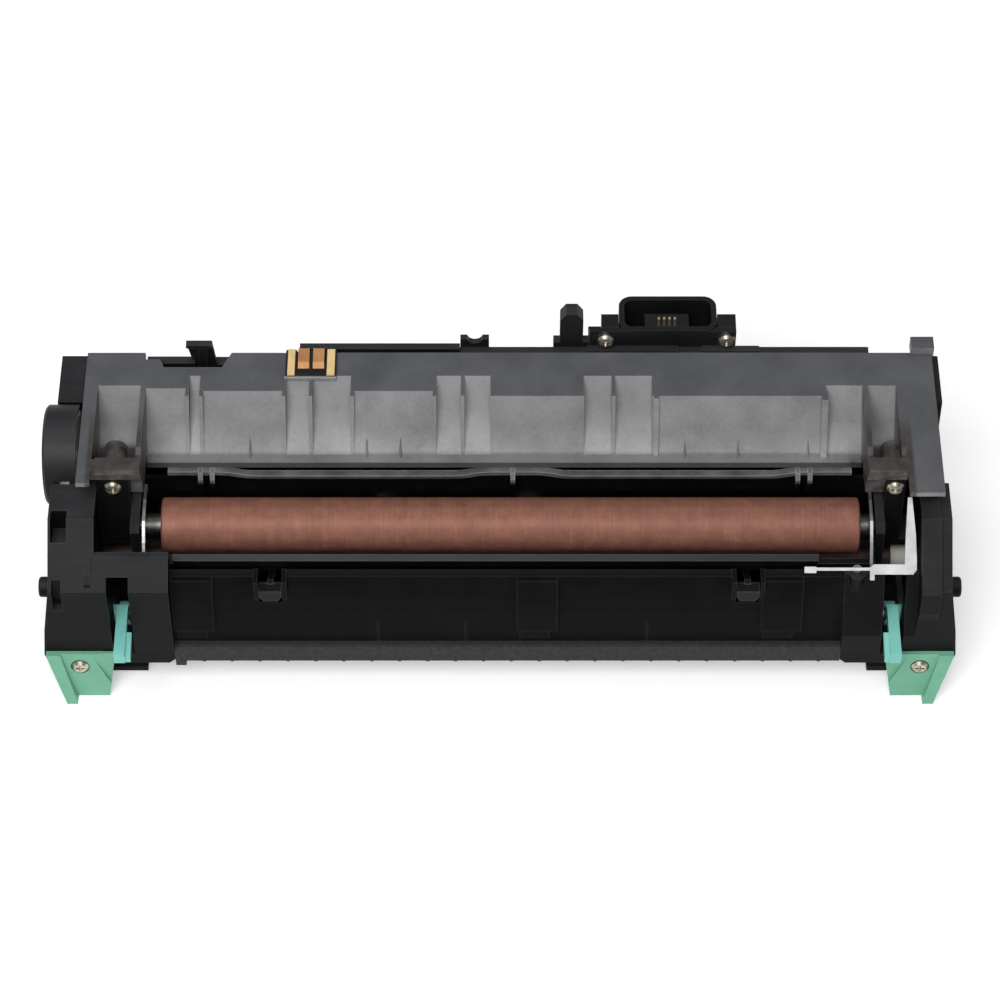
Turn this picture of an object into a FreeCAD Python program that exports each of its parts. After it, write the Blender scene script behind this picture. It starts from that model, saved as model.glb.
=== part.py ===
# Fuser unit of a laser printer, seen standing on its carrier feet.
# All sizes are millimetres. X runs along the rollers, Y to the back, Z up.
# Pieces are drawn about the axis of the visible pressure roller and moved to
# the floor and to the middle of the depth when they are written.
import FreeCAD, Part
import math
import os

# Rollers
roller_radius = 9.3
roller_length = 232.0
roller_shift = 3.5
core_radius = 7.0
journal_radius = 4.0
journal_recess = 0.3
heat_radius = 12.5
heat_wall = 1.5
heat_journal_radius = 9.0
heat_back = 4.0
nip_gap = 0.1
run_clearance = 0.05
free_clearance = 0.6

# Heights and depths of the whole unit
axis_height = 50.0
front_reach = -41.0
back_reach = 72.0
wall = 2.0

# Side frames, measured outward from the ends of the roller
left_gap = 7.0
right_gap = 5.0
wall_width = 3.0
bay_width = 11.0
left_box = 15.1
right_box = 10.1
flare = 4.2
pin_reach = 6.0
pin_radius = 3.45
pin_seat = 2.2
pin_seat_radius = pin_radius + 1.2
pin_y = -12.0
pin_z = -18.0
bush_wall = 2.0
seam_inset = 10.4
left_upright = 11.0
right_upright = 6.5

# Side view of the side frames
frame_floor = -axis_height + 1.5
frame_front = -30.0
facet_back = -11.6
facet_corner = 1.5
ledge_height = 17.0
pit_front = -19.0
frame_back = 57.0
frame_top_back = 21.2
front_top_y = -20.0
front_top_z = 0.5
front_bulge = 6.5
front_low_z = -29.0
front_foot_z = -37.0
arm_front = 1.3
arm_depth = 2.7

# Drive train
gear_module = 1.0
heat_teeth = 48
drive_teeth = 28
gear_width = 6.5
gear_inset = 1.4
gear_gap = 0.5
drive_pin_radius = 3.0
cover_wall = 1.2
cover_proud = 2.8

# Top cover
deck_height = 28.0
deck_back = 52.3
deck_front = 32.8
pad_back = 41.8
pocket_front = 37.5
pocket_foot_y = 23.3
pocket_foot_z = 6.0
ramp_foot_y = 22.5
ramp_foot_z = 10.0
lip_depth = 3.5
lip_height = 2.6
strip_front_left = -5.3
strip_front_right = -9.4
rib_width = 1.7
cheek_width = 1.2
bridge_front = 0.0
bridge_depth = 2.7
bridge_height = 2.4
boss_radius = 3.7
boss_back = 18.0
seat_depth = 1.6
arm_top = deck_height - 6.0
boss_height = deck_height - 9.2

# Screws
screw_radius = 2.9
screw_head = 1.9
screw_shank = 1.5
screw_length = 6.5

# Paper path
bar_back = -11.8
bar_front = -15.3
slot_front = -19.4
flange_front = 17.0
flange_back = 19.4
flange_low = 5.3
flange_high = 7.3
flange_thick = 1.5
claw_places = (-76.0, 82.0)
claw_y = -21.2
claw_z = -5.2
claw_pin_radius = 1.0
claw_head = 3.7
tick_pitch = 9.4

# Levers
lever_y = -16.0
lever_z = -27.0
lever_width = 3.6
lever_inset = 3.5
lever_hub_radius = 4.0
lever_pin_radius = 1.5
lever_reach = front_reach
blade_height = -20.0
blade_thick = 2.4
cam_reach = 7.4
cam_turn = 45.0
cam_radius = 1.4

# Pressure arms and springs
arm_pivot_y = 28.0
arm_pivot_z = -37.0
arm_pin_radius = 2.0
arm_plate = 2.0
arm_inset = 8.8
spring_inset = 4.6
spring_y = -13.0
spring_radius = 2.4
spring_wire = 0.8
coil_count = 5
corner_count = 8

# Handles
handle_top = -axis_height + 20.0
handle_screw_z = handle_top - 6.0
handle_lean = 2.1
handle_thick = 1.4
wing_depth = 3.6
handle_screw_inset = 7.6
handle_screw_end = -23.6

X_AXIS = FreeCAD.Vector(1, 0, 0)
Y_AXIS = FreeCAD.Vector(0, 1, 0)
Z_AXIS = FreeCAD.Vector(0, 0, 1)

# Places that follow from the sizes above
heat_drop = -math.sqrt((roller_radius + heat_radius + nip_gap) ** 2 - heat_back ** 2)
roller_left = roller_shift - roller_length / 2
roller_right = roller_shift + roller_length / 2
left_wall_in = left_gap - roller_left
right_wall_in = right_gap + roller_right
left_wall_out = left_wall_in + wall_width
right_wall_out = right_wall_in + wall_width
left_bay_out = left_wall_out + bay_width
right_bay_out = right_wall_out + bay_width
left_outer = left_bay_out + left_box
right_outer = right_bay_out + right_box
left_seam = seam_inset - left_wall_in
right_seam = right_wall_in - seam_inset
gear_left = gear_inset - left_outer
gear_right = gear_left + gear_width
bracket_screw_left = -left_wall_out - 5.3
bracket_screw_right = right_wall_out + 3.0
deck_left = gear_right + 1.7
deck_right = right_outer - 3.1
left_mid = 1.0 - left_wall_in
right_mid = right_wall_in - 3.2


# Basic solids
def block(x0, x1, y0, y1, z0, z1):
    low = FreeCAD.Vector(min(x0, x1), min(y0, y1), min(z0, z1))
    return Part.makeBox(abs(x1 - x0), abs(y1 - y0), abs(z1 - z0), low)


def rod_x(y, z, radius, x0, x1):
    return Part.makeCylinder(radius, abs(x1 - x0), FreeCAD.Vector(min(x0, x1), y, z), X_AXIS)


def rod_y(x, z, radius, y0, y1):
    return Part.makeCylinder(radius, abs(y1 - y0), FreeCAD.Vector(x, min(y0, y1), z), Y_AXIS)


def rod_z(x, y, radius, z0, z1):
    return Part.makeCylinder(radius, abs(z1 - z0), FreeCAD.Vector(x, y, min(z0, z1)), Z_AXIS)


def prism(corners, run):
    """A closed outline of corners, run along a vector."""
    points = [FreeCAD.Vector(*corner) for corner in corners]
    return Part.Face(Part.makePolygon(points + points[:1])).extrude(run)


def section_x(points, x0, x1):
    """A closed outline of (y, z) corners, run along X."""
    low = min(x0, x1)
    return prism([(low, y, z) for y, z in points], X_AXIS * abs(x1 - x0))


def section_y(points, y0, y1):
    """A closed outline of (x, z) corners, run along Y."""
    low = min(y0, y1)
    return prism([(x, low, z) for x, z in points], Y_AXIS * abs(y1 - y0))


def section_z(points, z0, z1):
    """A closed outline of (x, y) corners, run along Z."""
    low = min(z0, z1)
    return prism([(x, y, low) for x, y in points], Z_AXIS * abs(z1 - z0))


def mirrored(points, side):
    """Corners given for the right end, put on the given side."""
    return [(side * x, z) for x, z in points]


def spike(base, tip):
    """Four-sided point on a base of three corners."""
    corners = [FreeCAD.Vector(*corner) for corner in base]
    top = FreeCAD.Vector(*tip)
    faces = [Part.Face(Part.makePolygon(corners + corners[:1]))]
    for first, second in ((0, 1), (1, 2), (2, 0)):
        faces.append(Part.Face(Part.makePolygon([corners[first], corners[second], top, corners[first]])))
    solid = Part.Solid(Part.makeShell(faces))
    if solid.Volume < 0:
        solid.reverse()
    return solid


def join(shapes):
    """One solid from pieces that touch or overlap."""
    first = shapes[0]
    for other in shapes[1:]:
        first = first.fuse(other)
    return first.removeSplitter()


def group(shapes):
    return Part.makeCompound(shapes)


def end_edges(shape, x0, x1):
    """The round edges of a turned piece at its two ends."""
    found = []
    for edge in shape.Edges:
        place = edge.BoundBox
        if place.XLength < 0.01 and min(abs(place.XMin - x0), abs(place.XMin - x1)) < 0.01:
            found.append(edge)
    return found


# Gears with involute flanks
def gear(teeth, bore, y, z, turn):
    """A spur gear about X; the middle of tooth 0 points at the angle turn from +Y."""
    pitch = gear_module * teeth / 2
    base = pitch * math.cos(math.radians(20))
    root = pitch - 1.25 * gear_module
    tip = pitch + 0.9 * gear_module
    backlash = 0.16 * gear_module
    half_pitch = (math.pi * gear_module / 2 - backlash) / 2 / pitch
    roll = math.tan(math.radians(20)) - math.radians(20)

    def half_angle(radius):
        if radius <= base:
            return half_pitch + roll
        press = math.acos(base / radius)
        return half_pitch + roll - (math.tan(press) - press)

    flank = [root, pitch, tip]
    corners = []
    for tooth in range(teeth):
        middle = turn + 2 * math.pi * tooth / teeth
        for radius in flank:
            corners.append((radius, middle - half_angle(radius)))
        for radius in reversed(flank):
            corners.append((radius, middle + half_angle(radius)))
    outline = [(y + r * math.cos(a), z + r * math.sin(a)) for r, a in corners]
    blank = section_x(outline, gear_left, gear_right)
    return blank.cut(rod_x(y, z, bore, gear_left - 1, gear_right + 1))


gear_angle = math.atan2(35.0, 16.0)
gear_distance = gear_module * (heat_teeth + drive_teeth) / 2
drive_y = heat_back + gear_distance * math.cos(gear_angle)
drive_z = heat_drop + gear_distance * math.sin(gear_angle)
heat_tip = gear_module * (heat_teeth / 2 + 1)
drive_tip = gear_module * (drive_teeth / 2 + 1)
cap_radius = drive_tip + free_clearance + cover_wall


def pressure_roller_core():
    """Steel shaft with a thick middle and a turned journal at each end."""
    left_end = journal_recess - left_wall_out
    right_end = right_wall_out - journal_recess
    middle = rod_x(0, 0, core_radius, roller_left, roller_right)
    return join([middle, rod_x(0, 0, journal_radius, left_end, right_end)])


def pressure_roller_rubber():
    """Silicone sleeve on the core, with a small bevel at each end."""
    sleeve = rod_x(0, 0, roller_radius, roller_left, roller_right)
    sleeve = sleeve.makeChamfer(0.5, end_edges(sleeve, roller_left, roller_right))
    return sleeve.cut(rod_x(0, 0, core_radius, roller_left - 1, roller_right + 1))


def heat_roller_tube():
    """Thin tube, necked down at both ends to run in its bushes."""
    right_end = right_wall_out + 4.0
    tube = rod_x(heat_back, heat_drop, heat_radius, roller_left, roller_right)
    neck = rod_x(heat_back, heat_drop, heat_journal_radius, gear_left, right_end)
    hollow = rod_x(heat_back, heat_drop, heat_journal_radius - heat_wall, gear_left - 1, right_end + 1)
    return join([tube, neck]).cut(hollow)


def heat_roller_gear():
    return gear(heat_teeth, heat_journal_radius, heat_back, heat_drop, gear_angle)


def drive_gear():
    """Idler under the round cover, with its gap on the line to the heat roller gear."""
    turn = gear_angle + math.pi + math.pi / drive_teeth
    return gear(drive_teeth, drive_pin_radius + run_clearance, drive_y, drive_z, turn)


def drive_pin():
    return rod_x(drive_y, drive_z, drive_pin_radius, gear_left - gear_gap, gear_right + 3.0)


def bush(y, z, journal, wall_in, side):
    """Plain bearing pressed into the inner wall of a side frame, flush on both faces."""
    x0 = side * wall_in
    x1 = side * (wall_in + wall_width)
    body = rod_x(y, z, journal + bush_wall, x0, x1)
    return body.cut(rod_x(y, z, journal + run_clearance, x0 - side, x1 + side))


def pressure_bush(side, wall_in):
    return bush(0, 0, journal_radius, wall_in, side)


def heat_bush(side, wall_in):
    return bush(heat_back, heat_drop, heat_journal_radius, wall_in, side)


# Heater inside the hot roller
lamp_radius = 3.5
lamp_left = gear_left + 10.2
lamp_right = right_wall_out - 2.5


def halogen_lamp():
    return rod_x(heat_back, heat_drop, lamp_radius, lamp_left, lamp_right)


def lamp_ends():
    """Ceramic end caps; each bears on the housing that holds it."""
    cap = lamp_radius + 0.6
    left = rod_x(heat_back, heat_drop, cap, gear_left - gear_gap, lamp_left)
    right = rod_x(heat_back, heat_drop, cap, lamp_right, right_bay_out)
    return group([left, right])


# Side frames
def housing_outline():
    """Side view of an end housing: foot, sloped facet, ledge, rear block and rear foot."""
    return [
        (-24.0, frame_floor), (frame_front, -44.0), (frame_front, facet_corner),
        (facet_back, ledge_height), (arm_front + arm_depth, ledge_height), (10.0, 5.0),
        (36.0, 5.0), (36.0, frame_top_back), (frame_back, frame_top_back),
        (frame_back, -axis_height), (frame_back - 12.0, -axis_height),
        (frame_back - 14.0, frame_floor),
    ]


def wall_outline():
    """Side view of the inner wall that carries the bushes."""
    bush_top = journal_radius + bush_wall + 2.5
    bush_front = -journal_radius - bush_wall - 3.0
    return [
        (pit_front, frame_floor), (pit_front, -16.0), (bush_front, -16.0), (bush_front, bush_top - 2),
        (bush_front + 2, bush_top), (-bush_front, bush_top), (-bush_front + 3, 3.0),
        (36.0, 3.0), (frame_back, 19.0), (frame_back, frame_floor),
    ]


def left_front_outline():
    """Side view of the left front body, whose top follows the facet of the housing."""
    slope = (ledge_height - facet_corner) / (facet_back - frame_front)
    top_y = -21.1
    return [
        (pit_front, front_low_z), (frame_front, front_low_z), (frame_front, facet_corner),
        (top_y, facet_corner + slope * (top_y - frame_front)),
        (pit_front, facet_corner + slope * (top_y - frame_front)),
    ]


def right_front_outline():
    """Side view of the right front body, lower so that the earth plate lies over it."""
    return [
        (pit_front, front_low_z), (frame_front, front_low_z), (frame_front, -22.0),
        (-26.0, -12.0), (-20.8, 0.0), (pit_front, 0.0),
    ]


def flare_outline(outer):
    """Front view of the flared side plate that carries the locating pin."""
    return [
        (outer - 0.5, 2.0), (outer, 2.0), (outer + 3.0, -19.0), (outer + flare, -32.0),
        (outer + flare - 1.4, -36.5), (outer - 0.5, -37.5),
    ]


def side_frame(side, wall_in, outer, upright_width, front_outline):
    """Moulded end frame: inner wall, front upright, lever bay and outer housing."""
    wall_out = wall_in + wall_width
    bay_out = wall_out + bay_width
    front_in = wall_in - seam_inset
    upright_out = side * (wall_out + upright_width)
    shape = join([
        section_x(wall_outline(), side * wall_in, side * wall_out),
        section_x(housing_outline(), side * bay_out, side * outer),
        block(side * wall_in, side * outer, -24.0, frame_back, frame_floor, frame_floor + wall),
        block(side * wall_in, side * outer, frame_back - wall, frame_back, frame_floor, 19.0),
        block(side * wall_out, upright_out, arm_front, arm_front + arm_depth, -11.0, arm_top),
        block(side * wall_out, side * bay_out, arm_front, 12.0, -11.0, -9.0),
        section_x(front_outline, side * front_in, side * bay_out),
        section_y(mirrored([
            (front_in, front_low_z), (front_in, front_foot_z + 2), (front_in + 2, front_foot_z),
            (bay_out, front_foot_z), (bay_out, front_low_z),
        ], side), frame_front + 0.5, pit_front),
        section_y(mirrored(flare_outline(outer), side), frame_front, 28.0),
    ])
    pin_tip = side * (outer + pin_reach)
    shape = shape.cut(rod_x(pin_y, pin_z, pin_seat_radius, side * (outer + pin_seat), pin_tip))
    pin = rod_x(pin_y, pin_z, pin_radius, side * outer, pin_tip)
    pin = pin.makeChamfer(0.5, end_edges(pin, pin_tip, pin_tip))
    shape = join([shape, pin])

    # Bores for the bushes and the roller ends
    start = side * (wall_in - 1)
    shape = shape.cut(rod_x(0, 0, journal_radius + bush_wall, start, side * wall_out))
    seat = rod_x(heat_back, heat_drop, heat_journal_radius + bush_wall, start, side * wall_out)
    shape = shape.cut(seat)
    clear = rod_x(heat_back, heat_drop, heat_journal_radius + free_clearance, start, side * bay_out)
    shape = shape.cut(clear)

    # Slot in the front wall that the lever swings in
    slot_in = side * (wall_out - 0.3)
    slot_out = side * (wall_out + 2 * lever_inset)
    shape = shape.cut(block(slot_in, slot_out, frame_front - 9, pit_front + 1, -32.5, 4.7))

    # Hole for the handle screw
    handle_x = side * (outer - handle_screw_inset)
    return shape.cut(rod_y(handle_x, handle_screw_z, screw_shank, frame_front - 1, handle_screw_end))


def gear_room():
    """The space that the two gears turn in, cut from the left housing."""
    x0 = gear_left - gear_gap
    x1 = gear_right + gear_gap
    low = rod_x(heat_back, heat_drop, heat_tip + free_clearance, x0, x1)
    high = rod_x(drive_y, drive_z, drive_tip + free_clearance, x0, x1)
    return join([low, high])


def side_frame_left():
    """Drive side, with the gear room, a recess beside the facet and a slot under it."""
    shape = side_frame(-1, left_wall_in, left_outer, left_upright, left_front_outline())
    shape = shape.cut(rod_x(drive_y, drive_z, cap_radius, -left_outer - 5, gear_right + gear_gap))
    shape = shape.cut(gear_room())
    through = heat_journal_radius + free_clearance
    shape = shape.cut(rod_x(heat_back, heat_drop, through, -left_bay_out, gear_left - gear_gap))
    shape = shape.cut(rod_x(drive_y, drive_z, drive_pin_radius, gear_right, gear_right + 3.0))
    shape = shape.cut(rod_y(bracket_screw_left, boss_height, screw_shank, arm_front - 1, arm_front + 4))
    recess_in = -left_outer + 6.1
    shape = shape.cut(block(-left_outer + 0.8, recess_in, -17.5, -8.0, 8.0, ledge_height + 1))
    shape = shape.cut(block(-left_outer + 1.1, recess_in - 1.9, frame_front - 1, -26.9, -8.4, 5.0))
    hook = section_x([
        (-22.0, 7.8), (-22.6, 8.8), (-26.6, 5.4), (-28.4, 3.6), (-29.2, 1.6), (-28.0, 2.4),
    ], -left_bay_out - 1.0, -left_bay_out - 3.4)
    return join([shape, hook])


def side_frame_right():
    """Connector side, with a raised rib down the housing and a post for the earth plate."""
    shape = side_frame(1, right_wall_in, right_outer, right_upright, right_front_outline())
    shape = shape.cut(rod_y(bracket_screw_right, boss_height, screw_shank, arm_front - 1, arm_front + 4))
    rib = section_x([
        (-4.0, ledge_height - 0.5), (-4.0, ledge_height + 1.0), (facet_back - 0.8, ledge_height + 1.0),
        (frame_front - 1.7, facet_corner + 0.8), (frame_front - 1.7, -8.0), (frame_front + 0.5, -15.0),
        (frame_front + 0.5, facet_corner - 0.5), (facet_back, ledge_height - 1.0),
    ], right_bay_out, right_outer - 3.7)
    post = rod_z(post_x, post_y, post_radius, -12.0, post_top)
    shape = join([shape, rib, post])
    return shape.cut(rod_z(post_x, plate_screw_y, 1.0, post_top - 4.0, post_top + 1))


def gear_cover():
    """Round cap over the drive gear, with a square window in its rim."""
    x0 = -left_outer - cover_proud
    x1 = gear_right + gear_gap
    cap = rod_x(drive_y, drive_z, cap_radius, x0, x1)
    cap = cap.makeChamfer(0.8, end_edges(cap, x0, x0))
    cap = cap.cut(rod_x(drive_y, drive_z, cap_radius - cover_wall, gear_left - gear_gap, x1 + 1))
    cap = cap.cut(gear_room())
    window = block(gear_right - 1.8, gear_right - 5.2, -3.0, 9.5, drive_z - 3.6, drive_z + 5.0)
    return cap.cut(window)


# Front cover
def front_curve():
    """Corners down the bulged front, a quarter ellipse from the top edge to the bottom bar."""
    arc_steps = 6
    points = []
    for step in range(arc_steps + 1):
        turn = math.pi / 2 * step / arc_steps
        y = front_top_y - front_bulge * math.sin(turn)
        z = front_top_z - (front_top_z - front_low_z) * (1 - math.cos(turn))
        points.append((y, z))
    return points


def front_cover():
    """Bulged front wall between the side frames, with saddle pads, claw brackets and a bottom bar."""
    skin = 2.0
    outer = front_curve()
    inner = [(max(y, front_top_y - 0.8) + skin, z) for y, z in reversed(outer)]
    bar = [(-28.4, -30.0), (-29.4, -31.5), (-29.4, -36.0), (-28.4, -37.0), (-24.5, -37.0),
           (-24.5, front_low_z)]
    hollow = [point for point in inner if point[1] < -3.0]
    shell = section_x(outer + bar + hollow + [(slot_front, -3.0), (slot_front, front_top_z)],
                      left_seam, right_seam)
    pieces = [shell, block(left_seam, left_seam + 3.5, -29.0, -25.0, -39.0, -36.5)]
    pieces += [saddle_pad(middle, half) for middle, half in saddles]
    pieces += [claw_bracket(middle) for middle in claw_places]
    tick = left_seam + 9.0
    while tick < right_seam - 6.0:
        pieces.append(block(tick, tick + 1.0, -28.6, -25.0, -37.5, -36.5))
        tick += tick_pitch
    shape = join(pieces)
    for joint_x in (-41.0, -11.7, 48.8):
        shape = shape.cut(block(joint_x, joint_x + 0.6, -27.4, -26.0, -29.0, -8.0))
    for middle in claw_places:
        half = claw_head + 0.3
        shape = shape.cut(block(middle - half, middle + half, -28.0, -17.0, -10.2, 2.0))
        hole = rod_x(claw_y, claw_z, claw_pin_radius + run_clearance, middle - 5.2, middle + 5.2)
        shape = shape.cut(hole)
    return shape


saddles = [(-102.0, 6.8), (12.3, 6.7), (93.5, 6.8)]


def saddle_pad(middle, half):
    """Raised pad that follows the front curve and ends in a narrower step."""
    outer = front_curve()
    proud = 2.0
    raised = [(y - proud, z) for y, z in outer if -22.0 < z < -0.1]
    backing = [(y + 0.6, z) for y, z in reversed(outer) if -22.0 < z < -0.1]
    pad = section_x(raised + backing, middle - half, middle + half)
    step = block(middle - half + 1.0, middle + half - 2.6, -27.4, -25.0, -26.0, -17.0)
    return join([pad, step])


def claw_bracket(middle):
    """Two ears on the top edge that hold the pin of a stripper claw."""
    inner = claw_head + 0.3
    left = block(middle - inner - 1.4, middle - inner, -25.6, -19.5, -8.0, 1.0)
    right = block(middle + inner, middle + inner + 1.4, -25.6, -19.5, -8.0, 1.0)
    return join([left, right])


def stripper_claw(middle):
    """Thin claw with a block-like head, turning on its own small trunnions."""
    outline = [(-22.6, -3.2), (-20.6, -3.2), (-8.6, -12.2), (-9.6, -13.2), (-21.0, -7.6), (-22.6, -6.4)]
    head = section_y([
        (middle - claw_head, -3.4), (middle + claw_head, -3.4), (middle + claw_head, -6.4),
        (middle + 2.4, -8.4), (middle - 2.4, -8.4), (middle - claw_head, -6.4),
    ], -25.8, -22.0)
    pin = rod_x(claw_y, claw_z, claw_pin_radius, middle - 5.0, middle + 5.0)
    return join([section_x(outline, middle - 1.0, middle + 1.0), head, pin])


# Base
sensor_places = (-40.0, 10.0)
sensor_back = 24.5
pan_low = -41.5
pan_top = pan_low + wall


def base_frame():
    """Bottom pan between the side frames, with a post for each sensor and a rear wall."""
    x0 = -left_wall_in
    x1 = right_wall_in
    pieces = [
        block(x0, x1, -24.0, 50.0, pan_low, pan_top),
        block(left_seam, right_seam, -24.0, -22.4, pan_top, front_low_z),
        block(x0, x1, 48.0, 50.0, pan_top, 10.0),
    ]
    for middle in sensor_places:
        pieces.append(block(middle - 7.0, middle + 7.0, sensor_back, sensor_back + 2.5, pan_top, -14.0))
    rib_count = 5
    for step in range(rib_count):
        x = x0 + 20.0 + step * (x1 - x0 - 40.0) / (rib_count - 1)
        pieces.append(block(x - 0.8, x + 0.8, sensor_back + 4.0, 48.0, pan_top, -20.0))
    return join(pieces)


def thermostat():
    """Round safety switch facing the hot roller."""
    x = sensor_places[1]
    body = rod_y(x, heat_drop, 6.0, sensor_back - 4.0, sensor_back)
    cap = rod_y(x, heat_drop, 4.2, sensor_back - 7.0, sensor_back - 4.0)
    return join([body, cap])


def thermistor():
    """Small sensor block with a sprung pad near the hot roller."""
    x = sensor_places[0]
    body = block(x - 6.0, x + 6.0, sensor_back - 3.0, sensor_back, heat_drop - 4.0, heat_drop + 4.0)
    pad = block(x - 2.5, x + 2.5, sensor_back - 7.3, sensor_back - 3.0, heat_drop - 1.5, heat_drop + 1.5)
    return join([body, pad])


# Paper guides
def lower_guide_bar():
    """Slim bar in front of the roller, carried by a tab at each end."""
    x0 = roller_left + 4.0
    x1 = roller_right - 14.0
    tab_front = bar_back - 2.4
    pieces = [section_x([
        (bar_front, -0.2), (bar_front + 1.8, 1.1), (bar_back, 0.3),
        (bar_back, -4.6), (bar_front + 0.8, -5.0), (bar_front, -2.7),
    ], x0, x1)]
    for wall_x, end, inward in ((-left_wall_in, x0, 2.0), (right_wall_in, x1, -2.0)):
        pieces.append(block(wall_x, end, tab_front, bar_back, -4.6, -3.0))
        pieces.append(block(wall_x, wall_x + inward, tab_front, bar_back, -22.0, -3.0))
    return join(pieces)


def wave_height(x):
    """Height of the guide's top flange: high over the hooks and low between them."""
    slope_run = 12.0
    away = min(max(abs(x - middle) - half, 0.0) for middle, half in wave_crests)
    share = min(away / slope_run, 1.0)
    return flange_high - (flange_high - flange_low) * (1 - math.cos(math.pi * share)) / 2


wave_crests = [(-104.0, 10.0), (4.3, 8.0), (111.0, 9.0)]
hook_places = (-100.5, -96.5, 4.3, 99.9, 104.0)


def paper_guide():
    """Wall behind the roller with a waved top flange and hooked ribs."""
    x0 = roller_left + 1.0
    x1 = roller_right - 1.5
    wall_line = [
        (flange_front + 1.5, flange_low - 0.5), (flange_back + 0.6, flange_low - 0.5),
        (flange_back + 1.5, -4.0), (22.0, -12.0), (20.6, -12.0), (18.6, -4.0), (flange_front + 1.5, 0.5),
    ]
    places = [x0, x1]
    for middle, half in wave_crests:
        for edge in (-1, 1):
            for away in (0.0, 3.0, 6.0, 9.0, 12.0):
                places.append(middle + edge * (half + away))
    places = sorted(x for x in set(places) if x0 <= x <= x1)
    top = [(x, wave_height(x)) for x in places]
    low = [(x, z - flange_thick) for x, z in reversed(top)]
    pieces = [
        section_x(wall_line, x0, x1),
        section_y(top + low, flange_front, flange_back),
    ]
    for x in hook_places:
        z = wave_height(x)
        hook = [
            (flange_front + 1.8, z + 0.4), (flange_front - 0.8, z + 0.4), (flange_front - 2.2, z - 1.6),
            (flange_front - 2.4, 1.0), (flange_front - 1.8, -1.4), (flange_front, -3.0),
            (flange_front + 2.6, -3.6), (flange_front + 2.4, 3.0),
        ]
        pieces.append(section_x(hook, x - 0.75, x + 0.75))
    for wall_x, end in ((-left_wall_in, x0), (right_wall_in, x1)):
        pieces.append(block(wall_x, end, 19.0, 20.5, -9.0, 2.0))
    return join(pieces)


# Top cover
ramp_run = (deck_front - ramp_foot_y) / (deck_height - ramp_foot_z)


def deck_panel(x0, x1, front, foot_y=ramp_foot_y, foot_z=ramp_foot_z, skirt=lip_height):
    """Flat deck and the sloped panel below it, one moulded skin bent along the front edge."""
    drop = wall / math.cos(math.atan(ramp_run))
    low = foot_z - skirt
    return section_x([
        (deck_back, deck_height), (front, deck_height), (foot_y, foot_z), (foot_y, low),
        (foot_y + drop, low), (foot_y + drop, foot_z), (front + drop * 0.7, deck_height - wall),
        (deck_back, deck_height - wall),
    ], x0, x1)


def cheek(x):
    """Thin upright web between the deck, the steep ramp and the shallow slope of a pad."""
    half = cheek_width / 2
    return section_x([
        (pad_back + 1.0, deck_height), (deck_front, deck_height), (ramp_foot_y, ramp_foot_z),
        (ramp_foot_y, ramp_foot_z - 1.5), (ramp_foot_y + 2.2, ramp_foot_z - 1.5),
        (pad_back + 1.0, deck_height - wall),
    ], x - half, x + half)


def ramp_rib(x0, x1, top_y, foot_out):
    """Upright rib that stands on the sloped panel and runs down to the lip."""
    return section_x([
        (top_y + 4.0, deck_height), (top_y + 4.0, deck_height - wall), (ramp_foot_y, ramp_foot_z),
        (ramp_foot_y - foot_out, ramp_foot_z), (top_y, deck_height),
    ], x0, x1)


def lip_gusset(x):
    """Small pointed gusset between the lip and the sloped panel."""
    back = ramp_foot_y + 0.8
    low = ramp_foot_z - 0.6
    up = 5.2
    base = [(x - 1.1, back, low), (x + 1.1, back, low), (x, ramp_foot_y - 2.4, low)]
    return spike(base, (x, ramp_foot_y + up * ramp_run + 0.1, ramp_foot_z + up))


def bracket_rib(x0, x1, start):
    """Side rib of a screw bracket: straight free edge level with the deck, curved front."""
    nose_steps = 4
    nose_low = deck_height - 14.0
    nose = []
    for step in range(nose_steps + 1):
        turn = math.pi / 2 * step / nose_steps
        y = start + 6.0 * (1 - math.sin(turn))
        nose.append((y, nose_low + (deck_height - nose_low) * math.cos(turn)))
    outline = [(pocket_front + 2.0, deck_height)] + nose + [
        (start + 1.5, nose_low - 2.0), (20.0, nose_low - 2.0), (pocket_foot_y, pocket_foot_z),
        (pocket_foot_y + 2.3, pocket_foot_z),
    ]
    return section_x(outline, x0, x1)


def screw_bracket(rib_in, rib_out, centre, inner_start, outer_start, seat_out):
    """Two ribs, the bridge between them and the boss for the screw through the upright."""
    side = math.copysign(1.0, centre)
    seat_y = arm_front + arm_depth
    seat_low = boss_height - boss_radius - 2.6
    shape = join([
        bracket_rib(rib_out, rib_out - side * rib_width, outer_start),
        bracket_rib(rib_in, rib_in + side * rib_width, inner_start),
        block(rib_in, rib_out, bridge_front, bridge_front + bridge_depth,
              deck_height - bridge_height, deck_height),
        block(rib_in, seat_out, seat_y, seat_y + seat_depth, seat_low, deck_height),
        block(rib_in, rib_out, bridge_front + 1.0, seat_y + 1.0, arm_top + 0.2, deck_height),
        deck_panel(rib_in, rib_out, pocket_front, pocket_foot_y, pocket_foot_z, 0.5),
        rod_y(centre, boss_height, boss_radius, seat_y, boss_back),
    ])
    return shape.cut(rod_y(centre, boss_height, screw_shank, arm_front, 14.0))


def deck_strip(x0, x1, front):
    """Flat strip of the deck that runs forward beside a screw bracket."""
    return block(x0, x1, front, deck_back, deck_height - wall, deck_height)


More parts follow.
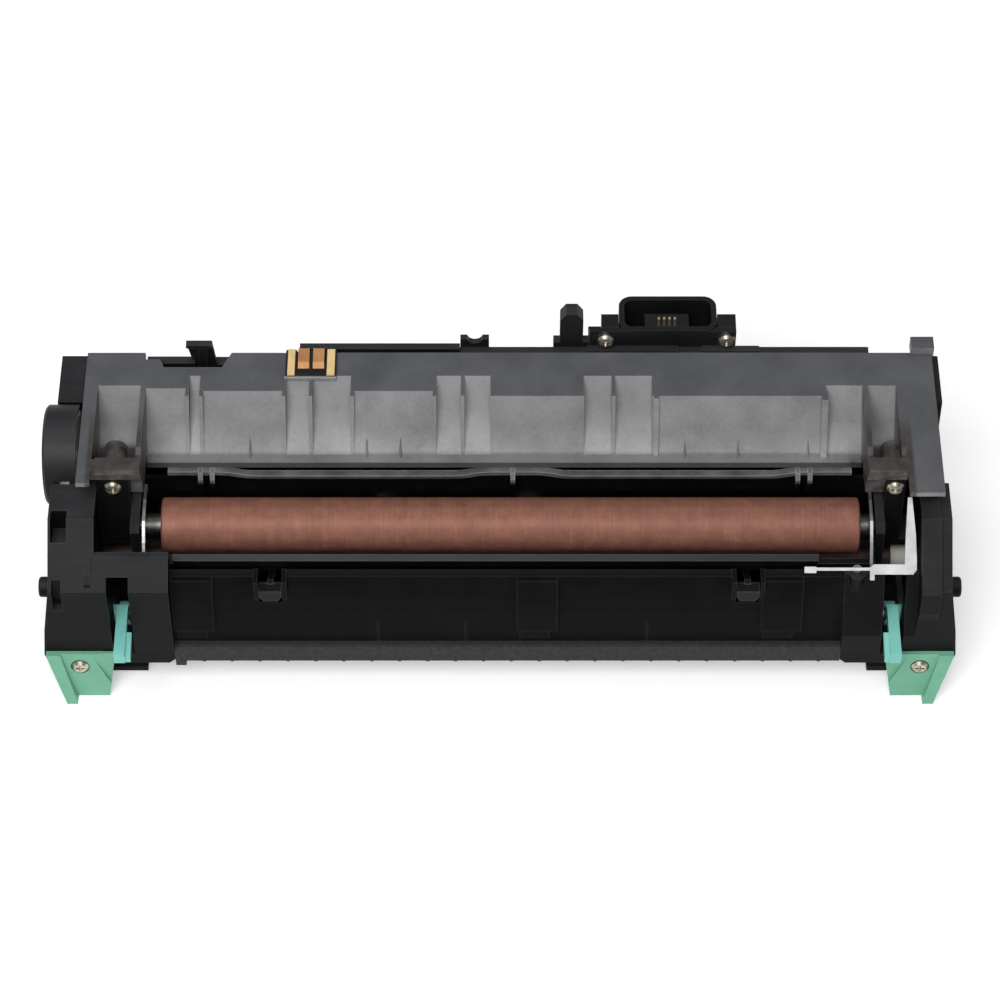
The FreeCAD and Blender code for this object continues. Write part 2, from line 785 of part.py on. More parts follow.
def top_cover():
    """Cover over the rear half: deck, sloped panels, pads, ribs, gussets and two screw brackets."""
    left_rib = -left_wall_in - 16.7
    right_rib = right_wall_in + 9.7
    seat_y = arm_front + arm_depth
    pieces = [
        block(left_mid, right_mid, ramp_foot_y - lip_depth, ramp_foot_y + 1.0,
              ramp_foot_z - lip_height, ramp_foot_z),
        ramp_rib(51.4, 53.1, 31.6, 1.0),
        ramp_rib(end_rib - 1.1, end_rib + 1.1, 31.0, 2.0),
        screw_bracket(left_mid, left_rib, bracket_screw_left, seat_y + 0.1, 13.6, -left_bay_out + 0.1),
        screw_bracket(right_mid, right_rib, bracket_screw_right, seat_y + 0.1, seat_y + 0.1,
                      right_rib),
        deck_strip(deck_left, left_rib + rib_width, strip_front_left),
        deck_strip(right_rib - 0.2, deck_right, strip_front_right),
    ]
    edge = left_mid
    for x0, x1 in pads:
        start = deck_front + panel_step(edge)
        pieces.append(deck_panel(edge, x0, start))
        pieces.append(deck_panel(x0, x1, pad_back))
        pieces += [cheek(x0 - cheek_width / 2), cheek(x1 + cheek_width / 2)]
        edge = x1
    pieces.append(deck_panel(edge, end_rib, deck_front))
    pieces.append(deck_panel(end_rib, right_mid, pocket_front))
    pieces += [cheek(x) for x in pad_ribs + (end_rib,)]
    pieces += [lip_gusset(x) for x in gusset_places]
    shape = join(pieces)
    notch_back = deck_back + 1
    notch = 6.6
    shape = shape.cut(section_z([
        (-119.5, notch_back), (-119.5, deck_back - 3.0), (-114.5, deck_back - 3.0),
        (-113.0, deck_back - notch), (-93.5, deck_back - notch), (-90.5, deck_back), (-90.5, notch_back),
    ], deck_height - 4, deck_height + 1))
    ear = block(deck_right - 7.0, deck_right + 0.7, deck_back - 0.6, deck_back + 4.6,
                deck_height - 1.5, deck_height + 3.0)
    return join([shape, ear])


pads = [(-104.0, -100.5), (-71.7, -50.0), (-21.3, -3.2), (28.1, 50.9)]
pad_ribs = (-63.3, -12.5, 38.0)
end_rib = 108.5
gusset_places = (-83.8, -44.7, -33.4, 62.0, 79.8, 103.3)


def panel_step(x):
    """The fold of the deck lies a little further back toward the left end."""
    return 3.4 if x < -104.0 else 2.2 if x < -21.0 else 0.0


# Rear cover
rear_top = deck_height - 1.0
rear_step = 5.0
rear_step_x = -67.6
rear_wall = 3.6
rear_face = deck_back + rear_wall


def rear_cover():
    """Rear wall with the top bars, the square post and the T-shaped post."""
    bar_low = rear_top - 1.0
    post_low = rear_top - rear_step - 1.5
    foot = deck_back - 2.3
    shape = join([
        block(rear_step_x, right_wall_in, deck_back, rear_face, frame_floor + 8, rear_top),
        block(-left_wall_in, rear_step_x, deck_back, rear_face, frame_floor + 8, rear_top - rear_step),
        block(rear_step_x, -13.5, deck_back + 1.0, rear_face, bar_low, rear_top + 1.8),
        block(29.4, 60.2, deck_back + 1.0, rear_face, bar_low, rear_top + 0.6),
        block(68.0, 87.6, deck_back + 1.0, rear_face, bar_low, rear_top + 0.6),
        section_y([(20.2, 20.0), (20.2, rear_top + 13.0), (22.2, rear_top + 16.0),
                   (26.0, rear_top + 16.0), (28.0, rear_top + 13.0), (28.0, 20.0)],
                  rear_face - 0.1, rear_face + 5.0),
        block(18.0, 30.2, rear_face - 0.1, rear_face + 3.0, 20.0, rear_top + 2.5),
        section_y([(-105.5, rear_top + 7.0), (-96.8, rear_top + 7.0), (-95.3, post_low),
                   (-102.8, post_low)], foot + 1.2, foot + 2.4),
        block(-105.5, -96.8, foot, foot + 2.2, rear_top + 5.6, rear_top + 7.0),
        block(-101.6, -98.6, foot, deck_back + 0.5, post_low, rear_top + 5.8),
        block(-119.0, -103.0, foot - 0.4, deck_back + 0.5, post_low, rear_top - 1.4),
        section_y([(-13.4, bar_low - 2), (-13.4, rear_top + 4.0), (-3.7, rear_top + 4.0),
                   (-3.7, bar_low - 2)], rear_face - 0.1, rear_face + 2.0),
    ])
    shape = shape.cut(rod_y(-8.5, rear_top + 4.5, 2.6, rear_face - 1, rear_face + 3))
    return shape.cut(block(22.6, 25.6, rear_face + 1.0, rear_face + 6.0, rear_top + 6.0, rear_top + 12.0))


# Release levers and pressure arms
arm_top_z = heat_drop - heat_journal_radius - bush_wall - 0.2


def lever(side, wall_in):
    """Flat finger blade on a hub, with a cam nose behind it and a fin beside the tip."""
    wall_out = wall_in + wall_width
    x = side * (wall_out + lever_inset)
    low = x - side * lever_width / 2
    high = x + side * lever_width / 2
    blade_top = blade_height + blade_thick
    crank = section_x([
        (lever_y - 3.6, lever_z), (lever_y - 1.0, lever_z + 3.8), (-20.0, blade_top),
        (-24.0, blade_top), (-24.0, blade_height),
    ], low, high)
    blade = section_x([
        (lever_reach, blade_height - 2.2), (lever_reach, blade_top), (-22.0, blade_top + 0.6),
        (-22.0, blade_height), (lever_reach + 3.0, blade_height),
    ], low, high)
    fin = section_x([
        (lever_reach + 0.4, blade_height - 2.2), (lever_reach + 0.4, blade_height + 0.6),
        (-31.4, blade_top - 0.4), (-31.4, blade_height + 0.4), (lever_reach + 4.0, blade_height - 1.6),
    ], low - side * 1.8, low)
    cam_end = side * (wall_out + arm_inset + arm_plate / 2)
    nose_turn = math.radians(-cam_turn)
    nose_y = lever_y + (cam_reach - cam_radius) * math.cos(nose_turn)
    nose_z = lever_z + (cam_reach - cam_radius) * math.sin(nose_turn)
    cam = section_x([
        (lever_y, lever_z + 2.4), (nose_y + 0.6, nose_z + 1.2), (nose_y - 0.6, nose_z - 1.2),
        (lever_y - 0.6, lever_z - 2.4),
    ], x, cam_end)
    shape = join([
        rod_x(lever_y, lever_z, lever_hub_radius, low, high), crank, blade, fin, cam,
        rod_x(nose_y, nose_z, cam_radius, x, cam_end),
        rod_x(lever_y, lever_z, lever_hub_radius - 1.0, x, cam_end),
    ])
    return shape.cut(rod_x(lever_y, lever_z, lever_pin_radius + run_clearance, x - 9.0, x + 9.0))


def bay_pin(side, wall_in, y, z, radius):
    """Steel pin between the two walls of a lever bay."""
    wall_out = wall_in + wall_width
    return rod_x(y, z, radius, side * wall_out, side * (wall_out + bay_width))


def lever_pin(side, wall_in):
    return bay_pin(side, wall_in, lever_y, lever_z, lever_pin_radius)


def arm_pin(side, wall_in):
    return bay_pin(side, wall_in, arm_pivot_y, arm_pivot_z, arm_pin_radius)


def pressure_arm(side, wall_in):
    """Steel arm under the hot roller's end, hinged at the back and sprung at the front."""
    middle = wall_in + wall_width + arm_inset
    x0 = side * (middle - arm_plate / 2)
    x1 = side * (middle + arm_plate / 2)
    plate = section_x([
        (arm_pivot_y + 5.0, arm_pivot_z - 3.0), (arm_pivot_y + 5.0, arm_pivot_z + 4.0), (16.0, arm_top_z),
        (-16.0, arm_top_z), (-17.0, arm_top_z - 1.5), (-17.0, arm_top_z - 5.0), (10.0, arm_top_z - 7.0),
    ], x0, x1)
    foot = block(x0, x0 - side * 5.0, spring_y - 4.0, spring_y + 4.0, arm_top_z - 5.0, arm_top_z - 3.8)
    bore = rod_x(arm_pivot_y, arm_pivot_z, arm_pin_radius + run_clearance, x0 - 9, x0 + 9)
    return join([plate, foot]).cut(bore)


def pressure_spring(side, wall_in):
    """Compression spring between the floor of the side frame and the arm's foot."""
    x = side * (wall_in + wall_width + spring_inset)
    end_gap = spring_wire / 2 + 0.12
    low = frame_floor + wall + end_gap
    high = arm_top_z - 5.0 - end_gap
    path = []
    for step in range(coil_count * corner_count + 1):
        turn = 2 * math.pi * step / corner_count
        z = low + (high - low) * step / (coil_count * corner_count)
        path.append((x + spring_radius * math.cos(turn), spring_y + spring_radius * math.sin(turn), z))
    return bent_wire(path, spring_wire)


def bent_wire(path, width):
    """Square wire that follows a path of corners."""
    points = [FreeCAD.Vector(*point) for point in path]
    run = points[1] - points[0]
    frame = FreeCAD.Placement(points[0], FreeCAD.Rotation(Z_AXIS, run))
    half = width / 2
    corners = [(-half, -half), (half, -half), (half, half), (-half, half), (-half, -half)]
    profile = Part.makePolygon([frame.multVec(FreeCAD.Vector(a, b, 0)) for a, b in corners])
    return Part.Wire(Part.makePolygon(points).Edges).makePipeShell([profile], True, False, 1)


# Handles
def handle(side, outer):
    """Leaning finger plate below the housing, bevelled inside, with one wing along its outer edge."""
    top = handle_top
    bottom = -axis_height
    top_out = outer + 3.4
    low_out = outer - 2.4
    top_in = outer - 19.8
    low_in = outer - 16.6
    front_top = frame_front - handle_thick
    front_low = front_top - handle_lean
    wing_low = front_low - wing_depth
    outline = section_y(mirrored([
        (top_out, top), (low_out, bottom), (low_in, bottom), (top_in, top),
    ], side), wing_low, frame_front)
    plate = section_x([
        (front_top, top), (front_low, bottom), (frame_front, bottom), (frame_front, top),
    ], side * top_in, side * top_out)
    wing_band = section_y(mirrored([
        (top_out, top), (low_out, bottom), (low_out - 3.6, bottom), (top_out - 4.8, top),
    ], side), wing_low, frame_front)
    wing_lean = section_x([
        (front_top - 0.8, top), (wing_low, bottom), (frame_front, bottom), (frame_front, top),
    ], side * top_in, side * top_out)
    bevel = prism([
        (side * (top_in - 0.5), frame_front - 0.6, top + 1),
        (side * (top_in + 8.4), front_top - 0.2, top + 1),
        (side * (top_in - 0.5), front_top - 9.0, top + 1),
    ], FreeCAD.Vector(side * -6.0, 0, -19.0))
    shape = join([outline.common(plate).cut(bevel), wing_band.common(wing_lean)])
    handle_x = side * (outer - handle_screw_inset)
    shape = shape.cut(rod_y(handle_x, handle_screw_z, screw_radius + 0.3, handle_seat - 9, handle_seat))
    return shape.cut(rod_y(handle_x, handle_screw_z, screw_shank, handle_seat - 1, frame_front + 1))


handle_seat = frame_front - 0.9


# Drawer connector
plug_left = 40.2
plug_right = 73.2
plug_front = 56.0
plug_back = 71.8
plug_top = deck_height + 7.0
plug_low = plug_top - 15.0
plug_wall = 1.8
core_left = 49.0
core_right = 63.8
core_front = 58.4
core_back = 66.4
core_top = plug_top - 3.0
pin_count = 4
pin_pitch = 1.8
left_ear = 10.0
right_ear = 6.4
ear_low = plug_top - 7.4
ear_thick = 2.0
plug_screws = (35.6, 76.4)
plug_screw_z = plug_top - 4.2


def drawer_connector():
    """Rounded socket that opens upward, with a pin block in its middle and two screw ears."""
    shell = block(plug_left, plug_right, plug_front, plug_back, plug_low, plug_top)
    shell = shell.makeFillet(4.5, upright_edges(shell))
    room = block(plug_left + plug_wall, plug_right - plug_wall, plug_front + plug_wall,
                 plug_back - plug_wall, plug_low + 2.0, plug_top + 1)
    room = room.makeFillet(2.8, upright_edges(room))
    core = block(core_left, core_right, core_front, core_back, plug_low + 1.0, core_top)
    ear_top = plug_top - 0.5
    ear_back = plug_front + ear_thick
    left = block(plug_left - left_ear, plug_left + 5.0, plug_front, ear_back, ear_low, ear_top)
    right = block(plug_right - 5.0, plug_right + right_ear, plug_front, ear_back, ear_low, ear_top)
    shape = join([join([shell, left, right]).cut(room), core])
    for x in plug_screws:
        shape = shape.cut(rod_y(x, plug_screw_z, screw_shank, plug_front - 1, plug_front + 3))
    hole_x = plug_left - left_ear + 1.3
    hole = block(hole_x, hole_x + 2.0, plug_front - 1, ear_back + 1, ear_top - 3.6, ear_top - 1.4)
    return shape.cut(hole)


def upright_edges(shape):
    return [e for e in shape.Edges if e.BoundBox.ZLength > 5 and e.BoundBox.XLength < 0.01]


def connector_pins():
    pins = []
    first = (core_left + core_right) / 2 - pin_pitch * (pin_count - 1) / 2
    for step in range(pin_count):
        x = first + step * pin_pitch
        pins.append(block(x - 0.4, x + 0.4, 62.2, 63.4, core_top, core_top + 1.8))
    return group(pins)


def connector_bracket():
    """Ledge on the rear wall that carries the connector, with a block behind each ear."""
    seat_left = plug_left - left_ear
    seat_right = plug_right + right_ear
    y0 = plug_front + ear_thick
    y1 = plug_front + 8.0
    top = plug_top - 0.5
    shape = join([
        block(seat_left, seat_right, rear_face, plug_back, plug_low - 3.0, plug_low),
        block(seat_left + 4.0, plug_left - 0.2, y0, y1, plug_low, top),
        block(plug_right + 0.2, seat_right, y0, y1, plug_low, top),
    ])
    for x in plug_screws:
        shape = shape.cut(rod_y(x, plug_screw_z, screw_shank, plug_front, plug_front + 7))
    return shape


# Leaf contacts on the deck
contact_left = -72.0
contact_right = -55.0
contact_front = 40.7
contact_base = 0.6
contact_rise = 1.4


def contact_block():
    """Shallow black tray on the deck that the leaf contacts lie in."""
    top = deck_height + contact_rise
    tray = block(contact_left, contact_right, contact_front, deck_back, deck_height, top)
    room = block(contact_left + 3.6, contact_right - 3.6, contact_front + 1.0, deck_back + 1,
                 deck_height + contact_base, top + 1)
    middle = (contact_left + contact_right) / 2
    divider = block(middle - 0.3, middle + 0.3, contact_front, deck_back, deck_height, top)
    return join([tray.cut(room), divider])


def outer_contacts():
    top = deck_height + contact_rise
    left = block(contact_left + 0.7, contact_left + 3.1, contact_front, deck_back, top, top + 0.4)
    right = block(contact_right - 3.1, contact_right - 0.5, contact_front, deck_back, top, top + 0.4)
    return group([left, right])


def inner_contacts():
    """Two copper leaves that rise at the back and curl at the front end."""
    leaves = []
    base = deck_height + contact_base
    for x0 in (contact_left + 4.1, contact_left + 9.1):
        outline = [
            (deck_back, base + 1.2), (deck_back, base + 1.6), (46.5, base + 1.2), (45.2, base + 0.4),
            (44.6, base + 0.0), (45.4, base + 0.0), (46.8, base + 0.8),
        ]
        leaves.append(section_x(outline, x0, x0 + 3.8))
    return group(leaves)


def contact_strip():
    return block(contact_left - 0.3, contact_right, contact_front - 0.8, contact_front,
                 deck_height, deck_height + 1.0)


# Earth plate, its post and the journal clips
plate_thick = 0.8
plate_top_y = -3.5
plate_top_z = 18.6
plate_run_y = -18.5
plate_run_z = -17.8
post_x = right_wall_in - 6.5
post_y = -21.0
post_radius = 2.7
post_top = 0.4
plate_screw_y = -20.0
plate_screw_radius = 1.6


def ground_plate():
    """Bright sheet that lies down the slope of the bay, with a leg along the front body's edge."""
    length = math.hypot(plate_run_y, plate_run_z)
    outer = right_bay_out - 1.1
    outline = [
        (outer - 3.1, 0.0), (outer - 1.7, 0.0), (outer - 0.4, 12.0), (outer, 21.0), (outer, 24.0),
        (outer - 1.2, 25.5), (outer - 13.9, 25.5), (outer - 13.9, 27.4), (outer - 15.4, 27.4),
        (outer - 15.4, 24.2), (outer - 33.1, 24.2), (outer - 33.1, 25.0), (outer - 37.0, 25.0),
        (outer - 37.0, 22.9), (outer - 33.1, 22.9), (outer - 33.1, 23.2), (outer - 15.4, 23.2),
        (outer - 14.2, 22.1), (outer - 4.0, 22.1), (outer - 3.7, 12.0),
    ]
    corners = []
    for x, along in outline:
        share = along / length
        corners.append((x, plate_top_y + plate_run_y * share, plate_top_z + plate_run_z * share))
    normal = FreeCAD.Vector(0, plate_run_z, -plate_run_y) * (plate_thick / length)
    return prism(corners, normal)


def plate_screw():
    """Small screw that holds the earth plate to its post."""
    head = rod_z(post_x, plate_screw_y, plate_screw_radius, post_top, post_top + 1.3)
    return join([head, rod_z(post_x, plate_screw_y, 1.0, post_top - 4.0, post_top + 0.1)])


def earth_clip(side, wall_in):
    """Bent wire that arches from the back over the roller's journal to the front."""
    width = 1.0
    x = side * (wall_in - 1.4)
    path = [
        (x, 11.0, 4.0), (x, 9.5, 9.0), (x, 3.0, 9.4), (x, -5.0, 8.0), (x, -10.5, 3.5), (x, -16.2, -2.5),
    ]
    return bent_wire(path, width)


# Screws
def pan_screw(x, z, face):
    """Cross-recess screw with its head toward the front."""
    head = rod_y(x, z, screw_radius, face - screw_head, face)
    front = [e for e in head.Edges if abs(e.BoundBox.YMax - face + screw_head) < 0.01]
    head = head.makeChamfer(0.8, front)
    cut_in = face - screw_head + 0.9
    wide = block(x - 1.6, x + 1.6, face - 3.0, cut_in, z - 0.3, z + 0.3)
    tall = block(x - 0.3, x + 0.3, face - 3.0, cut_in, z - 1.6, z + 1.6)
    shank = rod_y(x, z, screw_shank, face, face + screw_length)
    return join([head.cut(wide.fuse(tall)), shank])


def pan_screws():
    """The six equal screws: two in the brackets, two in the handles, two in the connector."""
    places = [
        (bracket_screw_left, boss_height, arm_front), (bracket_screw_right, boss_height, arm_front),
        (handle_screw_inset - left_outer, handle_screw_z, handle_seat),
        (right_outer - handle_screw_inset, handle_screw_z, handle_seat),
    ]
    places += [(x, plug_screw_z, plug_front) for x in plug_screws]
    return group([pan_screw(*place) for place in places])


# Every piece under its own name
def build():
    """All pieces, drawn about the axis of the visible roller."""
    shapes = {
        "base_frame": base_frame(),
        "side_frame_left": side_frame_left(),
        "side_frame_right": side_frame_right(),
        "front_cover": front_cover(),
        "top_cover": top_cover(),
        "rear_cover": rear_cover(),
        "gear_cover": gear_cover(),
        "paper_guide": paper_guide(),
        "lower_guide_bar": lower_guide_bar(),
        "pressure_roller_core": pressure_roller_core(),
        "pressure_roller_rubber": pressure_roller_rubber(),
        "heat_roller_tube": heat_roller_tube(),
        "heat_roller_gear": heat_roller_gear(),
        "drive_gear": drive_gear(),
        "drive_pin": drive_pin(),
        "halogen_lamp": halogen_lamp(),
        "lamp_ends": lamp_ends(),
        "thermostat": thermostat(),
        "thermistor": thermistor(),
        "stripper_claw_left": stripper_claw(claw_places[0]),
        "stripper_claw_right": stripper_claw(claw_places[1]),
        "handle_left": handle(-1, left_outer),
        "handle_right": handle(1, right_outer),
        "drawer_connector": drawer_connector(),
        "connector_pins": connector_pins(),
        "connector_bracket": connector_bracket(),
        "contact_block": contact_block(),
        "outer_contacts": outer_contacts(),
        "inner_contacts": inner_contacts(),
        "contact_strip": contact_strip(),
        "ground_plate": ground_plate(),
        "plate_screw": plate_screw(),
        "pan_screws": pan_screws(),
    }
    both_ends = {
        "pressure_bush": pressure_bush, "heat_bush": heat_bush, "release_lever": lever,
        "lever_pin": lever_pin, "pressure_arm": pressure_arm, "arm_pin": arm_pin,
        "pressure_spring": pressure_spring, "earth_clip": earth_clip,
    }
    for name, make in both_ends.items():
        shapes[name + "_left"] = make(-1, left_wall_in)
        shapes[name + "_right"] = make(1, right_wall_in)
    return shapes


def write_parts():
    os.makedirs("parts", exist_ok=True)
    middle_y = (front_reach + back_reach) / 2
    for name, shape in build().items():
        shape.translate(FreeCAD.Vector(0, -middle_y, axis_height))
        shape.exportStep("parts/" + name + ".step")


write_parts()
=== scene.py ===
import math

import bpy
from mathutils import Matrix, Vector


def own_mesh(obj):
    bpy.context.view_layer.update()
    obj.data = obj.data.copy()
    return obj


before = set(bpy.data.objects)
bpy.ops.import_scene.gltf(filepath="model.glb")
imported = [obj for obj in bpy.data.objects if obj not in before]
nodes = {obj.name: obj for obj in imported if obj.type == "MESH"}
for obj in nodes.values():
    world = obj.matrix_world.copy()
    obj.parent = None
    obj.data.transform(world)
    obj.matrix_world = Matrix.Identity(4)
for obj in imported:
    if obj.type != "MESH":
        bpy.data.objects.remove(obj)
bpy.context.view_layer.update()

# Camera: it looks down at fifty degrees on the front of the unit, from a little over a metre.
# The long lens keeps the two ends of the unit nearly the same size.
scene = bpy.context.scene
scene.view_settings.view_transform = "Standard"
view_target = Vector((0.0, -0.0091, 0.0554))
view_distance = 1.2
view_height = math.radians(50.0)
focal_pixels = 3593.0
frame_pixels = 1000.0
sensor_mm = 36.0
nearest_seen = 0.05
farthest_seen = 20.0

camera_data = bpy.data.cameras.new("camera")
camera_data.sensor_width = sensor_mm
camera_data.lens = sensor_mm * focal_pixels / frame_pixels
camera_data.clip_start = nearest_seen
camera_data.clip_end = farthest_seen
camera = bpy.data.objects.new("camera", camera_data)
view_offset = Vector((0.0, -math.cos(view_height), math.sin(view_height))) * view_distance
camera.location = view_target + view_offset
camera.rotation_euler = (-view_offset).to_track_quat("-Z", "Y").to_euler()
scene.collection.objects.link(camera)
scene.camera = camera


# White room: an even dim light from all round, and plain white where the camera or glass looks
# past the unit. Every colour in the file is an sRGB hex value, which one function makes linear.
def srgb(code):
    """Linear colour from an sRGB hex value such as '8FA3B0'."""
    values = []
    for start in (0, 2, 4):
        share = int(code[start:start + 2], 16) / 255.0
        values.append(share / 12.92 if share <= 0.04045 else ((share + 0.055) / 1.055) ** 2.4)
    return (*values, 1.0)


def add_node(tree, kind, settings=None, **links):
    """A node with its settings; a link names or numbers a socket and gives what feeds it."""
    halfway = 0.5
    node = tree.nodes.new(kind)
    for name, value in (settings or {}).items():
        if name == "stops":
            band = node.color_ramp
            while len(band.elements) < len(value):
                band.elements.new(halfway)
            for element, (place, code) in zip(band.elements, value):
                element.position = place
                element.color = srgb(code)
        else:
            setattr(node, name, value)
    for name, value in links.items():
        socket = node.inputs[int(name[1:]) if name[1:].isdigit() else name.replace("_", " ")]
        if isinstance(value, bpy.types.NodeSocket):
            tree.links.new(value, socket)
        else:
            socket.default_value = srgb(value) if isinstance(value, str) else value
    return node


room_light = 0.2
plain_white = 1.0
world = bpy.data.worlds.new("white room")
world.use_nodes = True
scene.world = world
tree = world.node_tree
tree.nodes.clear()
path = add_node(tree, "ShaderNodeLightPath")
seen = add_node(tree, "ShaderNodeMath", {"operation": "MAXIMUM"}, _0=path.outputs["Is Camera Ray"],
                _1=path.outputs["Is Transmission Ray"])
room = add_node(tree, "ShaderNodeBackground", Color="F4F6F8", Strength=room_light)
plain = add_node(tree, "ShaderNodeBackground", Color="FFFFFF", Strength=plain_white)
mixed = add_node(tree, "ShaderNodeMixShader", Fac=seen.outputs[0], _1=room.outputs[0],
                 _2=plain.outputs[0])
add_node(tree, "ShaderNodeOutputWorld", Surface=mixed.outputs[0])

# Floor: a sweep of matt white paper under the unit, which takes its soft shadow. Its fibres are
# drawn coarser than real ones, so that they can show. Where the camera, a mirror or glass sees
# it, it is lifted, and more with distance, so that it runs into the white of the room behind.
millimetre = 0.001
floor_size = 6.0
fibre_mm = 4.0
near_lift = 0.36
far_lift = 0.9
near_reach = 0.5
far_reach = 2.2
half = floor_size / 2
corners = [(-half, -half, 0), (half, -half, 0), (half, half, 0), (-half, half, 0)]
floor_mesh = bpy.data.meshes.new("floor")
floor_mesh.from_pydata(corners, [], [(0, 1, 2, 3)])
floor = bpy.data.objects.new("floor", floor_mesh)
scene.collection.objects.link(floor)
white_paper = bpy.data.materials.new("matt white paper")
white_paper.use_nodes = True
tree = white_paper.node_tree
tree.nodes.clear()
place = add_node(tree, "ShaderNodeTexCoord")
fibre = add_node(tree, "ShaderNodeTexNoise", Vector=place.outputs["Object"],
                 Scale=1.0 / (fibre_mm * millimetre))
tone = add_node(tree, "ShaderNodeValToRGB", {"stops": [(0.3, "F1F1F1"), (0.7, "F4F4F4")]},
                Fac=fibre.outputs[0])
paper = add_node(tree, "ShaderNodeBsdfDiffuse", Color=tone.outputs[0])
path = add_node(tree, "ShaderNodeLightPath")
mirrored = add_node(tree, "ShaderNodeMath", {"operation": "MAXIMUM"},
                    _0=path.outputs["Is Glossy Ray"], _1=path.outputs["Is Transmission Ray"])
seen = add_node(tree, "ShaderNodeMath", {"operation": "MAXIMUM"}, _0=path.outputs["Is Camera Ray"],
                _1=mirrored.outputs[0])
reach = add_node(tree, "ShaderNodeVectorMath", {"operation": "LENGTH"}, _0=place.outputs["Object"])
raised = add_node(tree, "ShaderNodeMapRange", Value=reach.outputs["Value"], From_Min=near_reach,
                  From_Max=far_reach, To_Min=near_lift, To_Max=far_lift)
lift = add_node(tree, "ShaderNodeMath", {"operation": "MULTIPLY"}, _0=seen.outputs[0],
                _1=raised.outputs[0])
glow = add_node(tree, "ShaderNodeEmission", Color="FFFFFF", Strength=lift.outputs[0])
sweep = add_node(tree, "ShaderNodeAddShader", _0=paper.outputs[0], _1=glow.outputs[0])
add_node(tree, "ShaderNodeOutputMaterial", Surface=sweep.outputs[0])
floor_mesh.materials.append(white_paper)


# Lamps: a main softbox above the camera and a little to its left, a low strip that glances off
# the steep ramp, and a weaker one overhead, toward the back. All three face the unit.
def softbox(name, place, size, watts):
    """A large soft lamp that faces the unit."""
    lamp = bpy.data.lights.new(name, "AREA")
    lamp.shape = "RECTANGLE"
    lamp.size, lamp.size_y = size
    lamp.energy = watts
    holder = bpy.data.objects.new(name, lamp)
    holder.location = place
    holder.rotation_euler = (view_target - Vector(place)).to_track_quat("-Z", "Y").to_euler()
    scene.collection.objects.link(holder)


softbox("main_softbox", place=(-0.25, -0.85, 1.35), size=(1.1, 0.8), watts=18.5)
softbox("low_strip", place=(-0.2, -1.45, 0.62), size=(1.3, 0.34), watts=3.0)
softbox("top_softbox", place=(0.0, 0.35, 1.5), size=(1.4, 0.8), watts=5.5)

# Base pan and side frames: the black housing that carries everything, one pan between two end
# frames, moulded in glass-filled PET. Spark-eroded moulds leave it matt and nearly black. Every
# face that looks up is painted greyer, partly settled dust and partly painted light from above,
# and edges have been rubbed paler.
sharp_edge = math.radians(40.0)
edge_segments = 2
plastic_ior = 1.52
slight_turn = 0.995
full_turn = 0.9
grit_strength = 0.2
grit_depth_mm = 0.05


def new_finish(name):
    """An empty node material, its tree, and one shader wired to the output."""
    finish = bpy.data.materials.new(name)
    finish.use_nodes = True
    tree = finish.node_tree
    tree.nodes.clear()
    shader = add_node(tree, "ShaderNodeBsdfPrincipled")
    add_node(tree, "ShaderNodeOutputMaterial", Surface=shader.outputs[0])
    return finish, tree, shader


def rubbed_edge(tree, shape, edge_mm, wear=1.0):
    """How worn each point is: up to the wear on a sharp edge, where the rounded face turns away."""
    edge = add_node(tree, "ShaderNodeBevel", {"samples": 4}, Radius=edge_mm * millimetre)
    turn = add_node(tree, "ShaderNodeVectorMath", {"operation": "DOT_PRODUCT"},
                    _0=edge.outputs[0], _1=shape.outputs["Normal"])
    rub = add_node(tree, "ShaderNodeMapRange", Value=turn.outputs["Value"], From_Min=slight_turn,
                   From_Max=full_turn, To_Max=wear)
    return rub.outputs[0]


